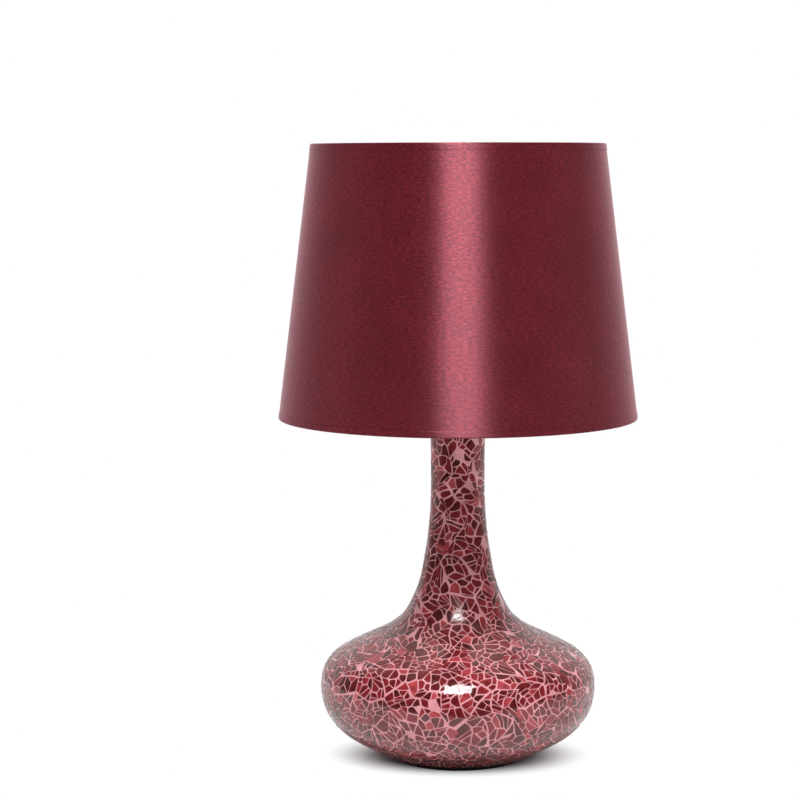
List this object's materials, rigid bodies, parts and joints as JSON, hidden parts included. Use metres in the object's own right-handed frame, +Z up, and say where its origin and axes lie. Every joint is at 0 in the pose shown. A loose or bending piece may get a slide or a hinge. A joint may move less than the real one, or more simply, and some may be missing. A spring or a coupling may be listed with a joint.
{
  "type": "mosaic glass table lamp",
  "caption": "Table lamp with a squat glass vessel and long neck covered in glass mosaic, a screw lamp holder with a turn switch, and a tapered satin shade held by a ring.",
  "frame": {"origin": "centre of the foot, on the surface that the lamp stands on", "axes": "+Z up along the pipe; -Y towards the front; the flex inlet is at the back, on +Y; the switch knob points along +X"},
  "size_m": [0.2096, 0.2096, 0.3599],
  "materials": {
    "felt": "pressed felt, matt",
    "black_steel": "semi-gloss black paint on pressed steel",
    "rubber": "matt moulded rubber",
    "zinc_steel": "bright zinc plate",
    "vessel_glass": "blown glass, polished",
    "mosaic": "dark red glass shards in pink grout, glossy",
    "phenolic": "moulded black phenolic, satin",
    "brass": "stamped, bright",
    "fibre": "vulcanised fibre, matt",
    "black_glass": "vitrite, glossy",
    "aluminium": "rolled, satin",
    "bulb_glass": "clear blown glass",
    "filament_metal": "drawn wire",
    "shade_satin": "burgundy satin, lustrous",
    "shade_liner": "white styrene sheet, satin",
    "white_wire": "white powder coat"
  },
  "bodies": {
    "base": {"felt_pad": "felt", "base_plate": "black_steel", "base_gasket": "rubber", "base_washer": "zinc_steel", "base_nut": "zinc_steel", "glass_vessel": "vessel_glass", "mosaic_coat": "mosaic", "flex_grommet": "rubber", "threaded_pipe": "zinc_steel", "neck_gasket": "rubber", "neck_cap": "black_steel", "neck_nut": "zinc_steel", "holder_cup": "phenolic", "set_screw": "zinc_steel", "holder_screw_1": "zinc_steel", "holder_screw_2": "zinc_steel", "holder_shell": "phenolic", "holder_core": "phenolic", "terminal_screw_live": "brass", "terminal_screw_neutral": "zinc_steel", "screw_shell": "brass", "insulating_sleeve": "fibre"},
    "contact": {"centre_contact": "brass"},
    "switch": {"switch_shaft": "zinc_steel", "switch_cam": "fibre", "switch_knob": "phenolic"},
    "bulb": {"bulb_tip_contact": "brass", "bulb_insulator": "black_glass", "bulb_cap": "aluminium", "bulb_glass": "bulb_glass", "bulb_stem": "bulb_glass", "filament_support_left": "filament_metal", "filament_support_right": "filament_metal", "filament": "filament_metal"},
    "shade": {"shade_fabric": "shade_satin", "shade_liner": "shade_liner", "shade_bottom_wire": "white_wire", "shade_top_wire": "white_wire", "fitter_ring": "white_wire", "shade_arm_1": "white_wire", "shade_arm_2": "white_wire", "shade_arm_3": "white_wire"},
    "shade_nut": {"retaining_ring": "phenolic"}
  },
  "joints": [
    {"name": "shade_lift", "type": "slide", "parent": "base", "child": "shade", "axis": [0, 0, 1], "range_m": [0, 0.15]},
    {"name": "ring_lift", "type": "slide", "parent": "shade", "child": "shade_nut", "axis": [0, 0, 1], "range_m": [0, 0.112]},
    {"name": "bulb_lift", "type": "slide", "parent": "base", "child": "bulb", "axis": [0, 0, 1], "range_m": [0, 0.125]},
    {"name": "switch_turn", "type": "hinge", "parent": "base", "child": "switch", "pos_m": [0.0296, 0, 0.243], "axis": [1, 0, 0], "continuous": true},
    {"name": "contact_press", "type": "slide", "parent": "base", "child": "contact", "axis": [0, 0, -1], "range_m": [0, 0.001], "stiffness_N_per_m": 300}
  ]
}
